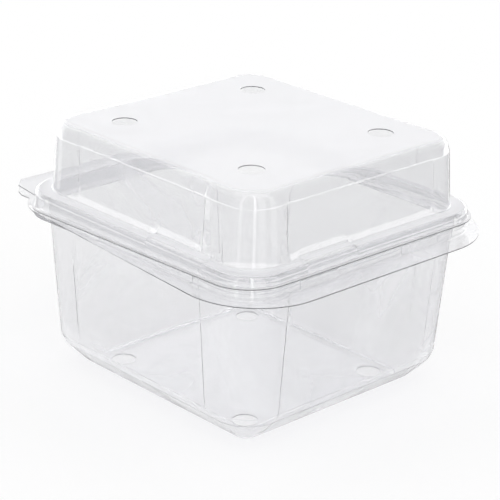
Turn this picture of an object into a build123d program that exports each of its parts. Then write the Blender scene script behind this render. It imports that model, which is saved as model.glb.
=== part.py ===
"""Clear hinged clamshell pack: a square tray and a domed lid formed in one thin sheet.

Millimetres, +Z up. The origin is the middle of the face the tray stands on.
The lid opens at the front (-Y) and turns on the fold along the back (+Y).
"""
import os
from math import atan, cos, degrees, sqrt, tan

from build123d import *

os.makedirs("parts", exist_ok=True)

# Sheet and fit
SHEET = 0.4           # thickness of the formed sheet
CLEAR = 0.35          # air between lid and tray where they nest

# Tray body: outside of the standing face, the sloping band above it and the wall
FLOOR_X = 93.6
FLOOR_Y = 100.2
FLOOR_R = 5.2         # corner radius of the standing face
BEVEL_H = 11.2        # height of the sloping band round the foot
BEVEL_RUN = 10.9      # how far the band spreads
BELLY_BEND = 6.0      # bend between the sloping band and the wall
WALL_RUN = 4.95       # how far the wall spreads up to the mouth

# Flat panels pressed into the walls between the corner posts of tray and lid
PANEL_DEPTH = 0.4
TRAY_PANEL_X = 80.0
TRAY_PANEL_Y = 76.0
TRAY_PANEL_LOW = 19.0     # height of the lower edge
TRAY_PANEL_DROP = 4.0     # from the flange down to the upper edge
LID_PANEL_X = 78.4
LID_PANEL_Y = 72.8
LID_PANEL_RISE = 3.2      # from the ledge up to the lower edge

# Stiffening rib pressed up into the floor, just inside its edge
FOOT_W = 3.0          # flat standing rim outside the rib
RIB_W = 2.6
RIB_R = 6.0           # corner radius of the rib's outside
RIB_H = 1.2
RIB_DRAFT = 0.4       # run per unit of height on the rib's sides

# Rim of the tray: an upstanding hollow bead with a flat flange outside it
RIM_Z = 66.0          # height of the flange's upper face
BEAD_H = 9.0
BEAD_W = 1.5          # from the wall to the outside of the bead, at its top
BEAD_R = 15.8         # corner radius of the bead's outside, tighter than the wall's
BEAD_DRAFT = 0.06     # run per unit of height on the bead and on the lid's skirt
BEAD_FLAT = 1.0       # bevel along the bead's outer top edge
FLANGE_FRONT = 77.0   # from the middle to the front edge
FLANGE_BACK = 80.0
FLANGE_FRONT_X = 148.0
FLANGE_BACK_X = 123.6
FLANGE_FRONT_R = 31.0
FLANGE_BACK_R = 24.0

# Snap pockets pressed into the outside of the bead
SNAP_POS = 27.4       # from the middle of a side to the middle of a pocket
SNAP_L = 19.6
SNAP_DEPTH = 0.6
SNAP_Z = 0.6          # from the flange to the lower edge of a pocket
SNAP_H = 2.8

# Lid: flat top, sloping band under it, dome wall, ledge that sits over the bead
TOP_Z = 104.5
DOME_X = 118.8        # outside of the dome at the ledge
DOME_Y = 125.9
DOME_R = 15.5
DOME_RUN = 1.55       # how far the dome wall leans in up to the band
CROWN_DROP = 5.8      # height of the band
CROWN_RUN = 2.0       # how far the band leans in
CROWN_BEND = 5.0      # rounding of the top edge

# Skirt of the lid: its cut edge is higher at the front, which leaves a finger gap
SKIRT_FRONT = 5.4     # from the flange up to the cut edge at the front
SKIRT_BACK = 2.0
LIP_W = 1.0           # out-turned lip at the cut edge

# Stacking lugs: one raised length of ledge on each side
LUG_H = 1.2
LUG_SIDE_POS = 27.0   # from the middle of a left or right side
LUG_SIDE_L = 31.5
LUG_END_POS = 21.4    # from the middle of the front or back
LUG_END_L = 26.0

# Fold along the back: the tray's leaf rises from the flange to meet the lid's
HINGE_Y = 86.0        # from the middle to the fold line
HINGE_L = 110.0
HINGE_NIP = 4.0       # corner cut at each end of the fold
LEAF_RISE = 3.2       # from the flange up to the fold line
LEAF_GAP = 0.5        # between the two leaves at the fold when the lid is shut
FOLD_GAP = 0.4        # between the ends of the leaves when the lid is laid flat

# Vent holes, the same pattern in floor and lid
VENT_D = 10.4
VENT_X = 70.0
VENT_Y = 74.2

# Sizes that follow
BEAD_TOP = RIM_Z + BEAD_H
LEDGE_Z = BEAD_TOP + CLEAR + SHEET
FOLD_Z = RIM_Z + LEAF_RISE
SKIRT_FRONT_Z = RIM_Z + SKIRT_FRONT
SKIRT_BACK_Z = RIM_Z + SKIRT_BACK
WALL_H = BEAD_TOP - BEVEL_H
RIM_OUT = BEVEL_RUN + WALL_RUN + BEAD_W
RIM_X = FLOOR_X + 2 * RIM_OUT
RIM_Y = FLOOR_Y + 2 * RIM_OUT
LIP_OUT = BEAD_DRAFT * BEAD_H + CLEAR + SHEET + LIP_W     # from the bead to the edge of the lip
CROWN_Z = TOP_Z - CROWN_DROP
DOME_LEAN = DOME_RUN / (CROWN_Z - LEDGE_Z)
CROWN_LEAN = CROWN_RUN / CROWN_DROP
FLAT_GAIN = 2 - sqrt(2)   # growth of a bevel for each unit that its faces move outwards
REACH = 400.0         # larger than the whole pack, for trimming
PAST = 1.0            # how far a cutter runs past a face


def grown(outline, by):
    """Rounded rectangle (x, y, corner radius) moved outwards all round."""
    x, y, r = outline
    return (x + 2 * by, y + 2 * by, r + by)


def tapered(outline, z, height, run):
    """Block on a rounded rectangle at height z whose sides spread by run over its height."""
    base = Pos(0, 0, z) * RectangleRounded(*outline)
    return extrude(base, height, taper=-degrees(atan(run / height)))


def top_edges(solid):
    """Edges round the highest flat face."""
    return solid.faces().sort_by(Axis.Z)[-1].edges()


def edges_at(solid, z):
    """Edges that lie level at height z."""
    return solid.edges().filter_by_position(Axis.Z, z - 0.01, z + 0.01)


def block(x0, x1, y0, y1, z0, z1):
    """Box between two corners."""
    middle = Pos((x0 + x1) / 2, (y0 + y1) / 2, (z0 + z1) / 2)
    return middle * Box(x1 - x0, y1 - y0, z1 - z0)


def vents(z0, z1):
    """Cutters for the four vent holes."""
    hole = Cylinder(VENT_D / 2, z1 - z0)
    spots = GridLocations(VENT_X, VENT_Y, 2, 2)
    return [Pos(0, 0, (z0 + z1) / 2) * spot * hole for spot in spots]


def rim_block(z0, z1, grow):
    """Block on the outline of the bead between two heights, grown outwards."""
    out = grow + BEAD_DRAFT * (BEAD_TOP - z0)
    return tapered(grown((RIM_X, RIM_Y, BEAD_R), out), z0, z1 - z0, -BEAD_DRAFT * (z1 - z0))


def bevelled_rim(z0, z1, grow):
    """The same block with the bevel along its top edge."""
    rim = rim_block(z0, z1, grow)
    return chamfer(top_edges(rim), BEAD_FLAT + FLAT_GAIN * grow)


def wall_block(z0, z1, grow):
    """Block on the outside of the tray's wall between two heights, grown outwards."""
    spread = WALL_RUN / WALL_H
    out = BEVEL_RUN + spread * (z0 - BEVEL_H) + grow
    return tapered(grown((FLOOR_X, FLOOR_Y, FLOOR_R), out), z0, z1 - z0, spread * (z1 - z0))


def dome_block(z0, z1, grow):
    """Block on the outside of the dome's wall between two heights, grown outwards."""
    out = grow - DOME_LEAN * (z0 - LEDGE_Z)
    return tapered(grown((DOME_X, DOME_Y, DOME_R), out), z0, z1 - z0, -DOME_LEAN * (z1 - z0))


def make_tray():
    """Tray with bevelled foot, vented floor, hollow bead, flange and half of the fold."""
    floor = (FLOOR_X, FLOOR_Y, FLOOR_R)
    belly = grown(floor, BEVEL_RUN)
    body = tapered(floor, 0, BEVEL_H, BEVEL_RUN) + tapered(belly, BEVEL_H, WALL_H, WALL_RUN)
    body = fillet(edges_at(body, BEVEL_H), BELLY_BEND)

    # Inside of the sheet: its sideways thickness differs on the band and on the wall
    band = BEVEL_RUN / BEVEL_H
    wall = WALL_RUN / WALL_H
    band_t = SHEET * sqrt(1 + band**2)
    wall_t = SHEET * sqrt(1 + wall**2)
    crease = (band_t - wall_t) / (band - wall)
    low_h = BEVEL_H + crease - SHEET
    high_h = WALL_H - crease + PAST
    inner_floor = grown(floor, band * SHEET - band_t)
    inner_belly = grown(belly, wall * crease - wall_t)
    hollow = tapered(inner_floor, SHEET, low_h, band * low_h)
    hollow = hollow + tapered(inner_belly, BEVEL_H + crease, high_h, wall * high_h)
    hollow = fillet(edges_at(hollow, BEVEL_H + crease), BELLY_BEND - SHEET)

    # The rib, seen from below as a groove and from above as a low wall
    groove = floor_rib(0)
    cover = floor_rib(SHEET)

    # Bead and flange outside, and the space under the bead
    bead = bevelled_rim(RIM_Z - SHEET, BEAD_TOP, 0)
    under = bevelled_rim(RIM_Z - 2 * SHEET, BEAD_TOP - SHEET, -SHEET)
    pockets = snap_ring(SNAP_DEPTH, 0)
    pocket_walls = snap_ring(SNAP_DEPTH + SHEET, SHEET)
    panels = tray_panels(PANEL_DEPTH, 0)
    panel_walls = tray_panels(PANEL_DEPTH + SHEET, SHEET)

    tray = body + bead + make_flange()
    tray = tray - (hollow - cover - panel_walls) - (under - body - pocket_walls)
    tray = tray - pockets - panels - groove
    tray = tray - vents(-PAST, 2 * SHEET)
    return tray


def tray_panels(depth, grow):
    """Pieces of the tray's wall between its corner posts, taken to a depth."""
    z0 = TRAY_PANEL_LOW - grow
    z1 = RIM_Z - TRAY_PANEL_DROP + grow
    ring = wall_block(z0, z1, PAST) - wall_block(z0, z1, -depth)
    return between_posts(ring, TRAY_PANEL_X + 2 * grow, TRAY_PANEL_Y + 2 * grow)


def lid_panels(depth, grow):
    """Pieces of the dome's wall between its corner posts, taken to a depth."""
    z0 = LEDGE_Z + LID_PANEL_RISE - grow
    z1 = CROWN_Z - SHEET + grow
    ring = dome_block(z0, z1, PAST) - dome_block(z0, z1, -depth)
    return between_posts(ring, LID_PANEL_X + 2 * grow, LID_PANEL_Y + 2 * grow)


def between_posts(ring, x, y):
    """The four straight lengths of a ring, x long at front and back and y long at the sides."""
    across = block(-x / 2, x / 2, -REACH, REACH, -REACH, REACH)
    along = block(-REACH, REACH, -y / 2, y / 2, -REACH, REACH)
    return (ring & across).solids() + (ring & along).solids()


def floor_rib(grow):
    """Ring of the floor's rib, thickened all round by an amount."""
    outline = (FLOOR_X - 2 * FOOT_W, FLOOR_Y - 2 * FOOT_W, RIB_R)
    height = RIB_H + grow
    run = RIB_DRAFT * height
    outside = tapered(grown(outline, grow), 0, height, -run)
    inside = tapered(grown(outline, -RIB_W - grow), 0, height, run)
    return outside - inside


def make_flange():
    """Flat flange of the tray with its leaf of the fold."""
    front = FLANGE_FRONT_X / 2
    back = FLANGE_BACK_X / 2
    outline = make_face(Polyline(
        (-front, -FLANGE_FRONT),
        (front, -FLANGE_FRONT),
        (back, FLANGE_BACK),
        (-back, FLANGE_BACK),
        close=True,
    ))
    corners = outline.vertices().sort_by(Axis.Y)
    outline = fillet(corners[:2], FLANGE_FRONT_R)
    corners = outline.vertices().sort_by(Axis.Y)[-2:]
    outline = fillet(corners, FLANGE_BACK_R)
    plate = extrude(outline, SHEET)
    low = RIM_Z - SHEET
    return Pos(0, 0, low) * plate + leaf(low, FLANGE_BACK, LEAF_RISE)


def leaf(z, bend_y, rise):
    """Half of the fold: a strip at height z that rises to the fold line behind a bend."""
    end = HINGE_Y - FOLD_GAP / 2
    start = RIM_Y / 2
    half = HINGE_L / 2
    outline = make_face(Polyline(
        (-half, start),
        (half, start),
        (half, end - HINGE_NIP),
        (half - HINGE_NIP, end),
        (HINGE_NIP - half, end),
        (-half, end - HINGE_NIP),
        close=True,
    ))
    slope = atan(rise / (end - bend_y))
    section = make_face(Plane.YZ * Polyline(
        (start, z),
        (bend_y, z),
        (end, z + rise),
        (end, z + rise + SHEET / cos(slope)),
        (bend_y - SHEET * tan(slope / 2), z + SHEET),
        (start, z + SHEET),
        close=True,
    ))
    return extrude(section, half, both=True) & extrude(outline, REACH)


def snap_ring(depth, grow):
    """Pieces of the bead's outside at the snap pockets, taken to a depth."""
    z0 = RIM_Z + SNAP_Z - grow
    z1 = RIM_Z + SNAP_Z + SNAP_H + grow
    ring = rim_block(z0, z1, PAST) - rim_block(z0, z1, -depth)
    half = SNAP_L / 2 + grow
    cutters = []
    for along in (-SNAP_POS, SNAP_POS):
        cutters.append(block(along - half, along + half, -REACH, 0, z0, z1))
        cutters.append(block(-REACH, REACH, along - half, along + half, z0, z1))
    return [part for cutter in cutters for part in (ring & cutter).solids()]


def make_lid():
    """Domed lid with ledge, stacking lugs, slanted skirt, lip and half of the fold."""
    dome = dome_block(LEDGE_Z, CROWN_Z, 0) + crown_block(CROWN_Z, TOP_Z, 0)
    dome = fillet(top_edges(dome), CROWN_BEND)

    # Inside of the sheet: its sideways thickness differs on the wall and on the band
    wall_t = SHEET * sqrt(1 + DOME_LEAN**2)
    band_t = SHEET * sqrt(1 + CROWN_LEAN**2)
    crease = CROWN_Z - (band_t - wall_t) / (CROWN_LEAN - DOME_LEAN)
    room = dome_block(LEDGE_Z - 2 * SHEET, crease, -wall_t) + crown_block(crease, TOP_Z - SHEET, -band_t)
    room = fillet(top_edges(room), CROWN_BEND - SHEET)
    panels = lid_panels(PANEL_DEPTH, 0)
    panel_walls = lid_panels(PANEL_DEPTH + SHEET, SHEET)

    # Skirt with the ledge on top of it, and the space for the bead inside
    low = RIM_Z - PAST
    skirt = bevelled_rim(low, LEDGE_Z, CLEAR + SHEET)
    nest = bevelled_rim(low - PAST, LEDGE_Z - SHEET, CLEAR)

    # Lugs lift the ledge, and are hollow like the rest of the sheet
    lug = bevelled_rim(LEDGE_Z - 2 * LUG_H, LEDGE_Z + LUG_H, CLEAR + SHEET)
    lug_in = bevelled_rim(LEDGE_Z - 2 * LUG_H, LEDGE_Z + LUG_H - SHEET, CLEAR)
    lugs = [lug & cutter for cutter in lug_cutters(0)]
    lug_rooms = [lug_in & cutter for cutter in lug_cutters(SHEET)]

    lid = dome + skirt + lugs
    lid = lid - (room - panel_walls) - nest - lug_rooms - panels

    # The cut edge falls towards the back, down to the leaf of the fold
    edge = grown((RIM_X, RIM_Y, BEAD_R), LIP_OUT)
    half = edge[1] / 2
    fall = (SKIRT_FRONT_Z - SKIRT_BACK_Z) / (2 * half)
    slant = Rot(-degrees(atan(fall)), 0, 0)
    middle = Pos(0, 0, (SKIRT_FRONT_Z + SKIRT_BACK_Z) / 2)
    below = middle * slant * Pos(0, 0, -REACH / 2) * Box(REACH, REACH, REACH)
    slab = middle * slant * Pos(0, 0, SHEET / 2) * Box(REACH, REACH, SHEET)
    lip = extrude(Pos(0, 0, low) * RectangleRounded(*edge), BEAD_H)
    lip = (lip & slab) - nest
    hinge_leaf = leaf(SKIRT_BACK_Z, half, FOLD_Z + LEAF_GAP - SKIRT_BACK_Z) - nest

    lid = lid - below
    lid = lid + lip + hinge_leaf
    lid = lid - vents(TOP_Z - 2 * SHEET, TOP_Z + PAST)
    return lid


def crown_block(z0, z1, grow):
    """Block on the outside of the sloping band between two heights, grown outwards."""
    out = grow - DOME_RUN - CROWN_LEAN * (z0 - CROWN_Z)
    return tapered(grown((DOME_X, DOME_Y, DOME_R), out), z0, z1 - z0, -CROWN_LEAN * (z1 - z0))


def lug_cutters(shorter):
    """Boxes that pick the lug lengths out of the ledge, one on each side."""
    z0 = LEDGE_Z - SHEET
    z1 = LEDGE_Z + 2 * LUG_H
    inner = -shorter
    side = LUG_SIDE_L / 2 - shorter
    end = LUG_END_L / 2 - shorter
    mid_x = DOME_X / 2 - SHEET + inner
    mid_y = DOME_Y / 2 - SHEET + inner
    return [
        block(-REACH, -mid_x, -LUG_SIDE_POS - side, -LUG_SIDE_POS + side, z0, z1),
        block(mid_x, REACH, LUG_SIDE_POS - side, LUG_SIDE_POS + side, z0, z1),
        block(-LUG_END_POS - end, -LUG_END_POS + end, -REACH, -mid_y, z0, z1),
        block(LUG_END_POS - end, LUG_END_POS + end, mid_y, REACH, z0, z1),
    ]


export_step(make_tray(), "parts/base_tray.step")
export_step(make_lid(), "parts/lid.step")
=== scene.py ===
"""Looks of the clear clamshell pack: tray and lid as thin clear sheet, on a pale studio floor."""
from math import atan, atan2, cos, pi, radians, sin, sqrt, tan

import bmesh
import bpy
from mathutils import Matrix, Vector


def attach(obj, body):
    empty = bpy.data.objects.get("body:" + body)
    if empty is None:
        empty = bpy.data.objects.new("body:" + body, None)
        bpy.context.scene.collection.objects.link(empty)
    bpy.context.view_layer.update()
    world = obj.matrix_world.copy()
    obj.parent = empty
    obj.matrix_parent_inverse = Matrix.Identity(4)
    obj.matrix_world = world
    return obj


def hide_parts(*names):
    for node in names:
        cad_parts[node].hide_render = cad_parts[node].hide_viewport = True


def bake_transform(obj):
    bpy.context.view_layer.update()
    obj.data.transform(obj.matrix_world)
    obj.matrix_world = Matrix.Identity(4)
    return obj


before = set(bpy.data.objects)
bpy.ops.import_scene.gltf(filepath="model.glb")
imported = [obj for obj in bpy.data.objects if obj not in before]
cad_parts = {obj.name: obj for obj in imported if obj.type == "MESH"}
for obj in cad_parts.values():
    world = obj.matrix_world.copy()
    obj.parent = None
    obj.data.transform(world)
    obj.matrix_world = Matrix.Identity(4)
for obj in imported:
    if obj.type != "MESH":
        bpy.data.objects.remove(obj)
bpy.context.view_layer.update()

MM = 0.001

# Sizes of the solids, in millimetres
SHEET = 0.4
CLEAR = 0.35
FLOOR_X, FLOOR_Y, FLOOR_R = 93.6, 100.2, 5.2
BEVEL_H, BEVEL_RUN, BELLY_BEND, WALL_RUN = 11.2, 10.9, 6.0, 4.95
FOOT_W, RIB_W, RIB_R, RIB_H, RIB_DRAFT = 3.0, 2.6, 6.0, 1.2, 0.4
RIM_Z, BEAD_H, BEAD_W, BEAD_R, BEAD_DRAFT = 66.0, 9.0, 1.5, 15.8, 0.06
FLANGE_FRONT, FLANGE_BACK = 77.0, 80.0
FLANGE_FRONT_X, FLANGE_BACK_X = 148.0, 123.6
FLANGE_FRONT_R, FLANGE_BACK_R = 31.0, 24.0
SNAP_POS, SNAP_L, SNAP_DEPTH, SNAP_Z, SNAP_H = 27.4, 19.6, 0.6, 0.6, 2.8
TOP_Z = 104.5
DOME_X, DOME_Y, DOME_R, DOME_RUN = 118.8, 125.9, 15.5, 1.55
CROWN_DROP, CROWN_RUN = 5.8, 2.0
SKIRT_FRONT, SKIRT_BACK, LIP_W = 5.4, 2.0, 1.0      # heights of the lid's cut edge above the flange
LUG_H, LUG_SIDE_POS, LUG_SIDE_L, LUG_END_POS, LUG_END_L = 1.2, 27.0, 31.5, 21.4, 26.0
HINGE_Y, HINGE_L, HINGE_NIP = 86.0, 110.0, 4.0
LEAF_RISE, LEAF_GAP, FOLD_GAP = 3.2, 0.5, 0.4
VENT_D, VENT_X, VENT_Y = 10.4, 70.0, 74.2
PANEL_X = {"tray": 40.0, "lid": 39.2}      # half lengths of the flat panels in the walls
PANEL_Y = {"tray": 38.0, "lid": 36.4}

# Sizes that follow
BEAD_TOP = RIM_Z + BEAD_H
LEDGE_Z = BEAD_TOP + CLEAR + SHEET
FOLD_Z = RIM_Z + LEAF_RISE
SKIRT_FRONT_Z = RIM_Z + SKIRT_FRONT
SKIRT_BACK_Z = RIM_Z + SKIRT_BACK
CROWN_Z = TOP_Z - CROWN_DROP
WALL_H = BEAD_TOP - BEVEL_H
BELLY_R = FLOOR_R + BEVEL_RUN
MOUTH_R = BELLY_R + WALL_RUN
RIM_OUT = BEVEL_RUN + WALL_RUN + BEAD_W
SKIRT_R = BEAD_R + CLEAR + SHEET
LIP_R = SKIRT_R + BEAD_DRAFT * BEAD_H + LIP_W
TRAY_CORE = (FLOOR_X / 2 - FLOOR_R, FLOOR_Y / 2 - FLOOR_R)
RIB_CORE = (FLOOR_X / 2 - FOOT_W - RIB_R, FLOOR_Y / 2 - FOOT_W - RIB_R)
RIM_CORE = (FLOOR_X / 2 + RIM_OUT - BEAD_R, FLOOR_Y / 2 + RIM_OUT - BEAD_R)
DOME_CORE = (DOME_X / 2 - DOME_R, DOME_Y / 2 - DOME_R)
LIP_Y = RIM_CORE[1] + LIP_R
FOLD_END = HINGE_Y - FOLD_GAP / 2

# Softness of the formed sheet, in millimetres
RAMP = 0.5                # length of the soft step at the end of a lug, pocket or panel
PANEL_DEPTH = {"tray": 0.4, "lid": 0.35}
PANEL_FADE = {"top": 2.0, "foot": 4.0}      # heights over which the lid's panels fade out
CROWN_BEND, CREASE_BEND = 5.0, 2.5
LEDGE_BEND, LEDGE_FOOT_BEND, LIP_BEND = 2.4, 0.9, 0.4
BEAD_BEND, BEAD_FOOT_BEND, MOUTH_BEND = 1.2, 0.5, 0.5
POCKET_BEND, POCKET_SLOPE = 0.3, 0.45
FLOOR_BEND, FACET_BEND, RIB_BEND = 2.4, 0.8, 0.8
FLANGE_START = 1.0        # width of flange that is formed with the bead
FILM, FILM_TAIL = 0.1, 0.8

# Fineness of the meshes
ARC_STEPS = 20            # faces round a corner
NIP_STEPS = 4             # faces round a small corner
SIDE_STEPS = 16           # faces along a straight side
VENT_STEPS = 56           # faces round a vent
FILM_STEPS = 10           # faces round the fold
SHARP = 28                # edges are sharp above this angle, in degrees

# Looks of the sheet; the scales are counts of noise per metre
PET_IOR = 1.57
HAZE_GREY = (0.71, 0.71, 0.725)
# White of the painted sheen and of the painted reflection spots
PAINTED_WHITE = (0.94, 0.94, 0.955)
LIGHT_LET_THROUGH = (0.975, 0.975, 0.98)
WAVE_SCALE, GRAIN_SCALE, SPOT_SCALE, SCORE_SCALE = 42.0, 160.0, 20.0, 900.0

# Room that gloss shows: brightness of its parts, and upright strips (bearing, half width in degrees, power)
LEFT_WALL, RIGHT_WALL = 0.62, 0.20
FLOOR_GLOW, LEFT_GLOW, NEAR_GLOW, HIGH_GLOW = 0.35, 0.3, 0.3, 0.3
SWEEP_GLOW, HORIZON_GLOW, BOX_GLOW = 1.2, 2.6, 0.8
STRIPS = ((-126, 3.5, 2.6), (-168, 4.0, 1.2), (-104, 9.0, 0.8), (-66, 8.0, 0.9))
FRONT = (-0.689, -0.725)      # level direction of the room's front
RIGHT = (0.725, -0.689)       # level direction of the room's darker side
FLOOR_SIZE, FLOOR_DROP = 6.0, 0.0002      # metres; the floor lies just under the pack


def span_ends(position, length):
    """Both ends of a span of some length, centred on a position."""
    return (position - length / 2, position + length / 2)


POCKETS = [span_ends(side * SNAP_POS, SNAP_L) for side in (-1, 1)]
LUGS = {
    "front": span_ends(-LUG_END_POS, LUG_END_L),
    "back": span_ends(LUG_END_POS, LUG_END_L),
    "left": span_ends(-LUG_SIDE_POS, LUG_SIDE_L),
    "right": span_ends(LUG_SIDE_POS, LUG_SIDE_L),
}


def side_marks(core, spans):
    """Positions along one straight side, with close pairs at the ends of each span."""
    marks = [core * (2 * i / SIDE_STEPS - 1) for i in range(SIDE_STEPS + 1)]
    for low, high in spans:
        marks += [low - RAMP, low - RAMP / 2, low, high, high + RAMP / 2, high + RAMP]
    marks = sorted(m for m in marks if -core <= m <= core)
    kept = [marks[0]]
    for m in marks[1:]:
        if m - kept[-1] > RAMP / 4:
            kept.append(m)
    return kept[1:-1]


def stations(part):
    """Places round the outline of tray or lid: (core signs, position along the side, side, normal)."""
    cx, cy = TRAY_CORE if part == "tray" else DOME_CORE
    panel_x = (-PANEL_X[part], PANEL_X[part])
    panel_y = (-PANEL_Y[part], PANEL_Y[part])
    spans_x = POCKETS if part == "tray" else [LUGS["front"], LUGS["back"]]
    spans_y = POCKETS if part == "tray" else [LUGS["left"], LUGS["right"]]
    xs = side_marks(cx, spans_x + [panel_x])
    ys = side_marks(cy, spans_y + [panel_y])
    places = [(x / cx, -1.0, x, "front", (0.0, -1.0)) for x in xs]
    places += corner(1, -1, -90)
    places += [(1.0, y / cy, y, "right", (1.0, 0.0)) for y in ys]
    places += corner(1, 1, 0)
    places += [(x / cx, 1.0, x, "back", (0.0, 1.0)) for x in reversed(xs)]
    places += corner(-1, 1, 90)
    places += [(-1.0, y / cy, y, "left", (-1.0, 0.0)) for y in reversed(ys)]
    places += corner(-1, -1, 180)
    return places


def corner(sign_x, sign_y, start):
    """Places round one corner arc, from a starting angle in degrees."""
    angles = [radians(start + 90 * i / ARC_STEPS) for i in range(ARC_STEPS + 1)]
    return [(sign_x, sign_y, None, "corner", (cos(a), sin(a))) for a in angles]


def on(core, place, radius, z):
    """Point of an outline: the core moved out by radius along the place's normal."""
    part_x, part_y, at, side, normal = place
    x, y = core[0] * part_x, core[1] * part_y
    if side in ("front", "back"):
        x = eased(at, core[0], part_x)
    elif side in ("left", "right"):
        y = eased(at, core[1], part_y)
    return Vector((x + radius * normal[0], y + radius * normal[1], z))


def eased(at, core, part):
    """Side position on an outline whose straight part may be shorter than the one the places use."""
    keep = 0.93 * core
    full = at / part if part else core
    if abs(at) <= keep or full <= core:
        return at
    t = (abs(at) - keep) / (full - keep)
    return (keep + t * (core - keep)) * (1 if at > 0 else -1)


def within(value, span):
    """1 inside a span, 0 outside it, with a soft step at each end."""
    edge = min(value - span[0], span[1] - value) / RAMP + 1
    t = max(0.0, min(1.0, edge))
    return t * t * (3 - 2 * t)


def panel_at(place, part):
    """How far back the wall is at a place: its flat panel lies a little behind the corner posts."""
    _, _, at, side, _ = place
    if side == "corner":
        return 0.0
    half = PANEL_X[part] if side in ("front", "back") else PANEL_Y[part]
    return PANEL_DEPTH[part] * within(at, (-half, half))


def lug_at(place):
    """How far a place is inside a stacking lug."""
    _, _, at, side, _ = place
    return 0.0 if side == "corner" else within(at, LUGS[side])


def pocket_at(place):
    """How far a place is inside a snap pocket."""
    _, _, at, side, _ = place
    if side in ("corner", "back"):
        return 0.0
    return max(within(at, span) for span in POCKETS)


def arc(start, knee, end, half, steps):
    """Points of the arc that leaves start towards knee and arrives at end; half is half the knee's angle."""
    points = []
    for k in range(steps + 1):
        t = k / steps
        weights = ((1 - t) ** 2, 2 * t * (1 - t) * sin(half), t * t)
        points.append((start * weights[0] + knee * weights[1] + end * weights[2]) / sum(weights))
    return points


def bent(points):
    """Line through (point, bend radius, steps) with its knees rounded; every place gets the same count."""
    out = [points[0][0]]
    for before, (knee, radius, steps), after in zip(points, points[1:], points[2:]):
        if radius == 0:
            out.append(knee)
            continue
        a = before[0] - knee
        b = after[0] - knee
        half = a.angle(b) / 2
        reach = min(radius / tan(half), a.length * 0.8, b.length * 0.8)
        out += arc(knee + a.normalized() * reach, knee, knee + b.normalized() * reach, half, steps)
    return out + [points[-1][0]]


def rounded_outline(corners):
    """Closed outline from ((x, y), radius) corners."""
    out = []
    points = [Vector(place) for place, _ in corners]
    for i, (_, radius) in enumerate(corners):
        a = (points[i - 1] - points[i]).normalized()
        b = (points[(i + 1) % len(points)] - points[i]).normalized()
        half = a.angle(b) / 2
        reach = radius / tan(half)
        steps = ARC_STEPS if radius > HINGE_NIP else NIP_STEPS
        out += arc(points[i] + a * reach, points[i], points[i] + b * reach, half, steps)
    return [(p.x, p.y) for p in out]


def crossing(outline, x):
    """Where the back of an outline has a given x."""
    for (x0, y0), (x1, y1) in zip(outline, outline[1:] + outline[:1]):
        if y0 > 0 and min(x0, x1) <= x <= max(x0, x1) and x0 != x1:
            return y0 + (y1 - y0) * (x - x0) / (x1 - x0)


def strip_ring(outline, bend_y):
    """Outline whose back edge runs out to the bend of the fold's strip; it starts and ends at that bend."""
    half = HINGE_L / 2
    join = crossing(outline, half)
    ring = [p for p in outline if p[1] < 0 or abs(p[0]) > half]
    ring += [(side * half, y) for side in (-1, 1) for y in (join, bend_y)]
    return sorted(ring, key=lambda p: (atan2(p[1], p[0]) - pi / 2) % (2 * pi))


def strip_tip(end):
    """Outline of the fold's strip behind its bend, from right to left."""
    half = HINGE_L / 2
    low = end - HINGE_NIP
    return [(half, low), (half - HINGE_NIP, end), (HINGE_NIP - half, end), (-half, low)]


def fill_flat(bm, loops, height):
    """Fills between closed loops of vertices in plan; height gives z from x and y."""
    edges = []
    for loop in loops:
        for a, b in zip(loop, loop[1:] + loop[:1]):
            edges.append(bm.edges.get((a, b)) or bm.edges.new((a, b)))
    verts = [v for loop in loops for v in loop]
    for v in verts:
        v.co.z = 0.0
    bmesh.ops.triangle_fill(bm, use_beauty=True, use_dissolve=False, edges=edges, normal=(0, 0, 1))
    for v in verts:
        v.co.z = height(v.co.x, v.co.y)


def vent_loops(bm):
    """Vertex circles of the four vents."""
    radius = VENT_D / 2
    angles = [2 * pi * k / VENT_STEPS for k in range(VENT_STEPS)]
    loops = []
    for x in (-VENT_X / 2, VENT_X / 2):
        for y in (-VENT_Y / 2, VENT_Y / 2):
            loops.append([bm.verts.new((x + radius * cos(a), y + radius * sin(a), 0)) for a in angles])
    return loops


def edge_and_strip(bm, row, outline, bend_y, flat, fold_z):
    """Sheet between the skin's last row and an outline, and the fold's strip behind a bend."""
    ring = [bm.verts.new((x, y, 0)) for x, y in strip_ring(outline, bend_y)]
    fill_flat(bm, [row, ring], flat)
    low = flat(0, bend_y)
    slope = (fold_z - low) / (FOLD_END - bend_y)
    tip = [bm.verts.new((x, y, 0)) for x, y in strip_tip(FOLD_END - SHEET * sin(atan(slope)))]

    def rising(x, y):
        return low + slope * (y - bend_y)

    fill_flat(bm, [[ring[-1]] + tip + [ring[0]]], rising)


def grid(bm, places, profile):
    """Skin of quads through one profile per place; returns the rows of vertices."""
    columns = [[bm.verts.new(p) for p in bent(profile(place))] for place in places]
    rows = [list(row) for row in zip(*columns)]
    for low, high in zip(rows, rows[1:]):
        for i in range(len(low)):
            j = (i + 1) % len(low)
            bm.faces.new((low[i], low[j], high[j], high[i]))
    return rows


def thicken(bm, depth):
    """Gives the skin a second face at the sheet's depth behind it, and closes the cut edges."""
    bm.normal_update()
    ways = []
    for edge in bm.edges:
        if edge.is_boundary:
            loop = next(x for x in edge.link_faces[0].loops if x.edge == edge)
            ways.append((loop.vert, loop.link_loop_next.vert))
    behind = {}
    for v in bm.verts[:]:
        reach = depth * min(1.35, v.calc_shell_factor())
        behind[v] = bm.verts.new(v.co - v.normal * reach)
    for f in bm.faces[:]:
        bm.faces.new([behind[v] for v in reversed(f.verts)])
    for a, b in ways:
        cut = bm.faces.new((b, a, behind[a], behind[b]))
        cut.material_index = 1


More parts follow.
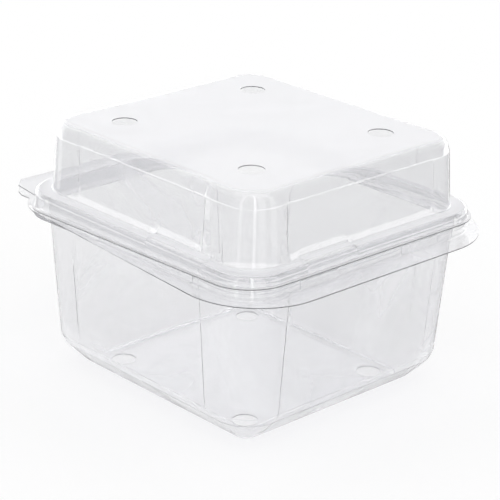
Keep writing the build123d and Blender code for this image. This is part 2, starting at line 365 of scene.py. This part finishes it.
def sheet_object(bm, name, depth, materials):
    """Object of a skin, thickened to a sheet, with one material on its faces and one on its cut edges."""
    bmesh.ops.recalc_face_normals(bm, faces=bm.faces[:])
    bm.normal_update()
    top = max(bm.faces, key=lambda f: f.calc_center_median().z)
    if top.normal.z < 0:
        bmesh.ops.reverse_faces(bm, faces=bm.faces[:])
    thicken(bm, depth)
    bmesh.ops.scale(bm, vec=(MM, MM, MM), verts=bm.verts[:])
    mesh = bpy.data.meshes.new(name)
    bm.to_mesh(mesh)
    bm.free()
    mesh.shade_smooth()
    mesh.set_sharp_from_angle(angle=radians(SHARP))
    for material in materials:
        mesh.materials.append(material)
    piece = bpy.data.objects.new(name, mesh)
    bpy.context.collection.objects.link(piece)
    return piece


def tray_profile(place):
    """Upper and inner face of the tray's sheet, from the floor to the flange."""
    back = panel_at(place, "tray")
    push = SNAP_DEPTH * pocket_at(place)
    spec = rib_points() + wall_points(back) + bead_points(push)
    return [(on(core, place, radius, z), bend, steps) for core, radius, z, bend, steps in spec]


def rib_points():
    """Floor inside the rib, and the low rib itself."""
    inside = RIB_R - RIB_W
    run = RIB_DRAFT * RIB_H
    soft = SHEET * 0.75
    top = SHEET + RIB_H
    return [
        (RIB_CORE, inside - 2 * soft, SHEET, 0, 0),
        (RIB_CORE, inside - soft, SHEET, RIB_BEND, 4),
        (RIB_CORE, inside + run - soft, top, RIB_BEND, 4),
        (RIB_CORE, RIB_R - run + soft, top, RIB_BEND, 4),
        (RIB_CORE, RIB_R + soft, SHEET, RIB_BEND, 4),
    ]


def wall_points(back):
    """Sloping band, belly and wall; back is the depth of the wall's panel."""
    band, wall = BEVEL_RUN / BEVEL_H, WALL_RUN / WALL_H
    band_t, wall_t = SHEET * sqrt(1 + band**2), SHEET * sqrt(1 + wall**2)
    rise = (band_t - wall_t) / (band - wall)
    belly, belly_z = BELLY_R + wall * rise - wall_t, BEVEL_H + rise
    # The belly's bend is drawn as a narrow facet, whose two creases catch the light
    reach = (BELLY_BEND - SHEET) * tan((atan(band) - atan(wall)) / 2)
    below, above = reach * cos(atan(band)), reach * cos(atan(wall))
    points = [
        (FLOOR_R + band * SHEET - band_t, SHEET, FLOOR_BEND, 6),
        (belly - band * below - back * 0.3, belly_z - below, FACET_BEND, 4),
        (belly + wall * above - back * 0.6, belly_z + above, FACET_BEND, 4),
    ]
    # The panel keeps its depth up the wall, and ends below the bead
    for height, share in ((0.15, 1.0), (0.5, 1.0), (0.8, 0.9), (0.86, 0.0)):
        z = BEVEL_H + WALL_H * height
        points.append((BELLY_R + wall * WALL_H * height - wall_t - back * share, z, 0, 0))
    points.append((MOUTH_R - wall_t, BEAD_TOP, MOUTH_BEND, 5))
    return [(TRAY_CORE, *point) for point in points]


def bead_points(push):
    """Outside of the bead, pushed in at the snap pockets, and the start of the flange."""
    low, high = RIM_Z + SNAP_Z, RIM_Z + SNAP_Z + SNAP_H
    soft = POCKET_SLOPE
    heights = ((high + soft, 0.0), (high - soft, push), (low + soft, push), (low, 0.0))
    points = [(BEAD_R, BEAD_TOP, BEAD_BEND, 6)]
    for z, less in heights:
        points.append((BEAD_R + BEAD_DRAFT * (BEAD_TOP - z) - less, z, POCKET_BEND, 2))
    foot = BEAD_R + BEAD_DRAFT * BEAD_H
    points += [(foot, RIM_Z, BEAD_FOOT_BEND, 4), (foot + FLANGE_START, RIM_Z, 0, 0)]
    return [(RIM_CORE, *point) for point in points]


def make_tray(materials):
    """Tray: vented floor, wall, bead, flange and its leaf of the fold."""
    bm = bmesh.new()
    rows = grid(bm, stations("tray"), tray_profile)
    fill_flat(bm, [rows[0]] + vent_loops(bm), lambda x, y: SHEET)
    front, back = FLANGE_FRONT_X / 2, FLANGE_BACK_X / 2
    flange = rounded_outline([
        ((-front, -FLANGE_FRONT), FLANGE_FRONT_R),
        ((front, -FLANGE_FRONT), FLANGE_FRONT_R),
        ((back, FLANGE_BACK), FLANGE_BACK_R),
        ((-back, FLANGE_BACK), FLANGE_BACK_R),
    ])
    edge_and_strip(bm, rows[-1], flange, FLANGE_BACK, lambda x, y: RIM_Z, FOLD_Z)
    piece = sheet_object(bm, "tray_sheet", SHEET, materials)
    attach(piece, "tray")
    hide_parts("base_tray")


def skirt_z(x, y):
    """Height of the lip's upper face: it falls from the front to the leaf of the fold."""
    t = (y + LIP_Y) / (2 * LIP_Y)
    return SKIRT_FRONT_Z + (SKIRT_BACK_Z - SKIRT_FRONT_Z) * t + SHEET


def lid_profile(place):
    """Upper and outer face of the lid's sheet, from the flat top to the lip."""
    ledge = LEDGE_Z + LUG_H * lug_at(place)
    back = panel_at(place, "lid")
    lean = DOME_RUN / (CROWN_Z - LEDGE_Z)
    crease = DOME_R - DOME_RUN
    edge = crease - CROWN_RUN
    low = skirt_z(0, on(RIM_CORE, place, SKIRT_R, 0).y)
    skirt_top = SKIRT_R + BEAD_DRAFT * (BEAD_TOP - ledge)
    skirt_low = SKIRT_R + BEAD_DRAFT * (BEAD_TOP - low)
    foot = DOME_R - lean * (ledge - LEDGE_Z)
    fade, fade_low = PANEL_FADE["top"], PANEL_FADE["foot"]
    spec = [
        (DOME_CORE, edge - CROWN_BEND, TOP_Z, 0, 0),
        (DOME_CORE, edge, TOP_Z, CROWN_BEND, 12),
        (DOME_CORE, crease - back * 0.4, CROWN_Z, CREASE_BEND, 4),
        (DOME_CORE, crease + lean * fade - back, CROWN_Z - fade, 0, 0),
        (DOME_CORE, (crease + DOME_R) / 2 - back, (CROWN_Z + LEDGE_Z) / 2, 0, 0),
        (DOME_CORE, foot - lean * fade_low - back * 0.8, ledge + fade_low, 0, 0),
        (DOME_CORE, foot, ledge, LEDGE_FOOT_BEND, 4),
        (RIM_CORE, skirt_top, ledge, LEDGE_BEND, 8),
        (RIM_CORE, skirt_low, low, LIP_BEND, 3),
        (RIM_CORE, skirt_low + LIP_W * 0.7, low, 0, 0),
    ]
    return [(on(core, place, radius, z), bend, steps) for core, radius, z, bend, steps in spec]


def make_lid(materials):
    """Lid: vented top, dome, ledge with lugs, skirt, lip and its leaf of the fold."""
    bm = bmesh.new()
    rows = grid(bm, stations("lid"), lid_profile)
    fill_flat(bm, [rows[0]] + vent_loops(bm), lambda x, y: TOP_Z)
    lip_x = RIM_CORE[0] + LIP_R
    lip = rounded_outline([((x, y), LIP_R) for x, y in
                           ((-lip_x, -LIP_Y), (lip_x, -LIP_Y), (lip_x, LIP_Y), (-lip_x, LIP_Y))])
    edge_and_strip(bm, rows[-1], lip, LIP_Y, skirt_z, FOLD_Z + LEAF_GAP + SHEET)
    piece = sheet_object(bm, "lid_sheet", SHEET, materials)
    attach(piece, "lid")
    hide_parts("lid")


def make_film(materials):
    """Thin sheet in the fold, which joins the two leaves."""
    bm = bmesh.new()
    radius = LEAF_GAP / 2 - FILM
    middle_y, middle_z = FOLD_END - radius, FOLD_Z + LEAF_GAP / 2
    fall = FILM_TAIL * LEAF_RISE / (FOLD_END - FLANGE_BACK)
    angles = [radians(180 * k / FILM_STEPS - 90) for k in range(FILM_STEPS + 1)]
    section = [(middle_y + radius * cos(a), middle_z + radius * sin(a)) for a in angles]
    section.insert(0, (middle_y - FILM_TAIL, middle_z - radius - fall))
    section.append((middle_y - FILM_TAIL, middle_z + radius - fall * 0.2))
    half = HINGE_L / 2 - HINGE_NIP
    columns = [[bm.verts.new((x, y, z)) for y, z in section] for x in (-half, half)]
    for i in range(len(section) - 1):
        bm.faces.new((columns[0][i], columns[1][i], columns[1][i + 1], columns[0][i + 1]))
    piece = sheet_object(bm, "fold_film", FILM, materials)
    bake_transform(piece)


class Tree:
    """Tree of shader nodes, with short ways to add sums and soft steps."""

    def __init__(self, owner):
        owner.use_nodes = True
        self.nodes = owner.node_tree.nodes
        self.links = owner.node_tree.links
        self.nodes.clear()

    def add(self, kind, **values):
        """New node with some of its sockets set or linked."""
        node = self.nodes.new(kind)
        for name, value in values.items():
            self.put(node.inputs[name.replace("_", " ")], value)
        return node

    def put(self, socket, value):
        """Sets a socket to a constant, or links another socket to it."""
        if isinstance(value, bpy.types.NodeSocket):
            self.links.new(value, socket)
        else:
            socket.default_value = value

    def math(self, how, a, b=0.0):
        """Result of a sum with two sockets, or with a socket and a number."""
        node = self.nodes.new("ShaderNodeMath")
        node.operation = how
        self.put(node.inputs[0], a)
        self.put(node.inputs[1], b)
        return node.outputs[0]

    def along(self, x, y, way):
        """Part of a level direction that lies along a given way."""
        return self.math("ADD", self.math("MULTIPLY", x, way[0]), self.math("MULTIPLY", y, way[1]))

    def step(self, value, low, high, to_low, to_high):
        """Soft step from one number to another."""
        node = self.add("ShaderNodeMapRange", Value=value, From_Min=low, From_Max=high,
                        To_Min=to_low, To_Max=to_high)
        node.interpolation_type = "SMOOTHSTEP"
        return node.outputs["Result"]


def plastic(name, tint, wave_depth, **haze_and_painted_sheen):
    """Clear PET: refracting sheet with the slow waves of forming, a faint grey haze, and painted light: a
    sheen on level faces and white reflection spots.
    """
    mat = bpy.data.materials.new(name)
    tree = Tree(mat)
    where = tree.add("ShaderNodeTexCoord").outputs["Object"]
    wave = tree.add("ShaderNodeTexNoise", Vector=where, Scale=WAVE_SCALE, Detail=1.5, Roughness=0.4)
    bump = tree.add("ShaderNodeBump", Strength=0.35, Distance=wave_depth, Height=wave.outputs["Fac"])
    grain = tree.add("ShaderNodeTexNoise", Vector=where, Scale=GRAIN_SCALE, Detail=4.0)
    gloss = tree.step(grain.outputs["Fac"], 0.35, 0.75, 0.01, 0.04)
    pet = tree.add("ShaderNodeBsdfPrincipled", Base_Color=(*tint, 1), Roughness=gloss, IOR=PET_IOR,
                   Transmission_Weight=1.0, Normal=bump.outputs["Normal"])
    shown_to_light(tree, add_haze_and_painted_light(tree, pet, **haze_and_painted_sheen))
    return mat


def add_haze_and_painted_light(tree, shader, haze, sheen, clouds):
    """Adds a grey haze, white spots at random places painted in for soft reflections, and a painted sheen: a
    white layer on level faces that grows at low angles.
    """
    where = tree.add("ShaderNodeTexCoord").outputs
    up = tree.math("ABSOLUTE", tree.add("ShaderNodeSeparateXYZ", Vector=where["Normal"]).outputs["Z"])
    # Painted reflection spots: white patches at random places, standing in for soft reflections
    cloud = tree.add("ShaderNodeTexNoise", Vector=where["Object"], Scale=SPOT_SCALE, Detail=1.5,
                     Distortion=1.0)
    painted_spots = tree.step(cloud.outputs["Fac"], 0.48, 0.72, 0.0, clouds)
    low_angle = tree.add("ShaderNodeLayerWeight", Blend=0.5).outputs["Facing"]
    # Painted sheen: white on level faces, stronger at low angles, standing in for the reflection of the
    # light above
    painted_highlight = tree.math("MULTIPLY", tree.step(up, 0.8, 1.0, 0.0, sheen), low_angle)
    hazed = mixed(tree, haze, shader, milk(tree, HAZE_GREY))
    return mixed(tree, tree.math("ADD", painted_highlight, painted_spots), hazed, milk(tree, PAINTED_WHITE))


def milk(tree, tint):
    """Thin scattering layer that is lit from both of its sides."""
    near = tree.add("ShaderNodeBsdfDiffuse", Color=(*tint, 1))
    far = tree.add("ShaderNodeBsdfTranslucent", Color=(*tint, 1))
    return mixed(tree, 0.5, near, far)


def mixed(tree, share, a, b):
    """Mix of two shaders."""
    mix = tree.add("ShaderNodeMixShader", Fac=share)
    tree.put(mix.inputs[1], a.outputs[0])
    tree.put(mix.inputs[2], b.outputs[0])
    return mix


def cut_edge_painted_dark(name, tint):
    """Die-cut edge of the sheet: duller than its faces, with fine scoring along the cut, and painted dark:
    painted shade for the dark line that light makes along a cut edge.
    """
    mat = bpy.data.materials.new(name)
    tree = Tree(mat)
    where = tree.add("ShaderNodeTexCoord").outputs["Object"]
    score = tree.add("ShaderNodeTexNoise", Vector=where, Scale=SCORE_SCALE, Detail=2.0)
    bump = tree.add("ShaderNodeBump", Strength=0.2, Distance=0.0001, Height=score.outputs["Fac"])
    gloss = tree.step(score.outputs["Fac"], 0.3, 0.7, 0.15, 0.35)
    # The dark tint is painted shade, for the dark line that light makes along a cut edge
    pet = tree.add("ShaderNodeBsdfPrincipled", Base_Color=(*tint, 1), Roughness=gloss, IOR=PET_IOR,
                   Transmission_Weight=0.2, Normal=bump.outputs["Normal"])
    shown_to_light(tree, pet)
    return mat


def shown_to_light(tree, shader):
    """Lets the studio's light through the sheet, so that the floor under it stays pale."""
    clear = tree.add("ShaderNodeBsdfTransparent", Color=(*LIGHT_LET_THROUGH, 1))
    path = tree.add("ShaderNodeLightPath")
    light = tree.math("MAXIMUM", path.outputs["Is Shadow Ray"], path.outputs["Is Diffuse Ray"])
    tree.add("ShaderNodeOutputMaterial", Surface=mixed(tree, light, shader, clear).outputs[0])


def room_light(tree):
    """Brightness that gloss sees: dim walls, a bright sweep behind, a pale horizon and a box above."""
    way = tree.add("ShaderNodeTexCoord").outputs["Generated"]
    x, y, z = tree.add("ShaderNodeSeparateXYZ", Vector=way).outputs
    front, right = tree.along(x, y, FRONT), tree.along(x, y, RIGHT)

    def where_both(a, b):
        return tree.math("MULTIPLY", a, b)

    walls = tree.step(right, -0.9, 0.9, LEFT_WALL, RIGHT_WALL)
    floor = tree.step(z, -0.64, -0.54, FLOOR_GLOW, 0.0)
    left = where_both(tree.step(right, -0.9, -0.2, LEFT_GLOW, 0.0), tree.step(z, -0.52, -0.2, 1.0, 0.0))
    near = where_both(tree.step(front, 0.2, 0.9, 0.0, NEAR_GLOW), tree.step(z, -0.55, -0.25, 0.0, 1.0))
    sweep = where_both(tree.step(front, -0.55, -0.25, SWEEP_GLOW, 0.0), tree.step(z, -0.05, 0.1, 0.0, 1.0))
    behind = tree.math("MAXIMUM", sweep, tree.step(z, 0.4, 0.6, 0.0, HIGH_GLOW))
    horizon = where_both(tree.step(z, -0.2, -0.15, 0.0, HORIZON_GLOW), tree.step(z, 0.02, 0.08, 1.0, 0.0))
    box = tree.step(z, 0.8, 0.86, 0.0, BOX_GLOW)
    total = walls
    for part in (floor, left, near, behind, horizon, box, strips(tree, x, y, z, front)):
        total = tree.math("ADD", total, part)
    return total


def strips(tree, x, y, z, front):
    """Upright strips, each with one opposite: those in front are tall, those behind end low."""
    level = tree.math("SQRT", tree.math("SUBTRACT", 1.0, tree.math("MULTIPLY", z, z)))
    total = 0.0
    for bearing, width, power in STRIPS:
        a = radians(bearing)
        across = tree.along(x, y, (cos(a), sin(a)))
        near = tree.math("DIVIDE", tree.math("ABSOLUTE", across), level)
        strip = tree.step(near, cos(radians(width * 1.6)), cos(radians(width * 0.6)), 0.0, power)
        total = tree.math("ADD", strip, total)
    tall = tree.math("MAXIMUM", tree.step(z, 0.2, 0.3, 1.0, 0.0), tree.step(front, -0.3, 0.0, 0.0, 1.0))
    foot = tree.step(z, -0.42, -0.34, 0.0, 1.0)
    return tree.math("MULTIPLY", total, tree.math("MULTIPLY", tall, foot))


def studio():
    """White surroundings and pale floor; gloss shows the room instead of plain white."""
    scene = bpy.context.scene
    scene.view_settings.view_transform = "Standard"
    world = bpy.data.worlds.new("studio")
    scene.world = world
    tree = Tree(world)
    path = tree.add("ShaderNodeLightPath")
    lit = tree.math("SUBTRACT", 1.0, path.outputs["Is Diffuse Ray"])
    mirror = tree.math("MULTIPLY", tree.math("MINIMUM", path.outputs["Glossy Depth"], 1.0), lit)
    level = tree.nodes.new("ShaderNodeMix")
    level.data_type = "FLOAT"
    tree.put(level.inputs[0], mirror)
    tree.put(level.inputs[2], 1.0)
    tree.put(level.inputs[3], room_light(tree))
    back = tree.add("ShaderNodeBackground", Color=(1, 1, 1, 1), Strength=level.outputs[0])
    tree.add("ShaderNodeOutputWorld", Surface=back.outputs[0])
    make_floor()


def make_floor():
    """Plain white floor under the pack."""
    bpy.ops.mesh.primitive_plane_add(size=FLOOR_SIZE, location=(0, 0, -FLOOR_DROP))
    floor = bpy.context.object
    floor.name = "floor"
    floor.visible_glossy = False
    mat = bpy.data.materials.new("floor_white")
    tree = Tree(mat)
    matt = tree.add("ShaderNodeBsdfPrincipled", Base_Color=(1, 1, 1, 1), Roughness=1.0,
                    Specular_IOR_Level=0.0)
    tree.add("ShaderNodeOutputMaterial", Surface=matt.outputs[0])
    floor.data.materials.append(mat)


def camera():
    """Camera at the photo's angle: worked out from the vents and the edges of floor, rim and lid."""
    azimuth, elevation, roll = radians(-43.58), radians(21.62), radians(1.55)
    distance = 788.4 * MM
    target = Vector((0.18, -0.41, 51.98)) * MM
    image_size, focal_pixels = 500, 1935.28
    back = Vector((sin(azimuth) * cos(elevation), -cos(azimuth) * cos(elevation), sin(elevation)))
    level = (-back).cross(Vector((0, 0, 1))).normalized()
    upright = level.cross(-back)
    right = level * cos(roll) + upright * sin(roll)
    up = upright * cos(roll) - level * sin(roll)
    data = bpy.data.cameras.new("camera")
    data.sensor_fit = "HORIZONTAL"
    data.sensor_width = 36.0
    data.lens = focal_pixels / image_size * data.sensor_width
    data.clip_start = 0.01
    cam = bpy.data.objects.new("camera", data)
    bpy.context.collection.objects.link(cam)
    place = Matrix((right, up, back)).transposed().to_4x4()
    place.translation = target + back * distance
    cam.matrix_world = place
    bpy.context.scene.camera = cam


# The lid is drawn less than the tray, so its sheet stays thicker and a little greyer
painted_dark_edge = cut_edge_painted_dark("cut_edge_painted_dark", (0.19, 0.193, 0.20))
# Painted light on both sheets: a strong painted sheen on the lid's level faces, more painted reflection
# spots on the tray
lid_pet = plastic("lid_pet", (0.945, 0.947, 0.953), 0.0008, haze=0.15, sheen=0.72, clouds=0.04)
tray_pet = plastic("tray_pet", (0.955, 0.956, 0.962), 0.0008, haze=0.10, sheen=0.10, clouds=0.22)
make_tray((tray_pet, painted_dark_edge))
make_lid((lid_pet, painted_dark_edge))
make_film((lid_pet, painted_dark_edge))
studio()
camera()
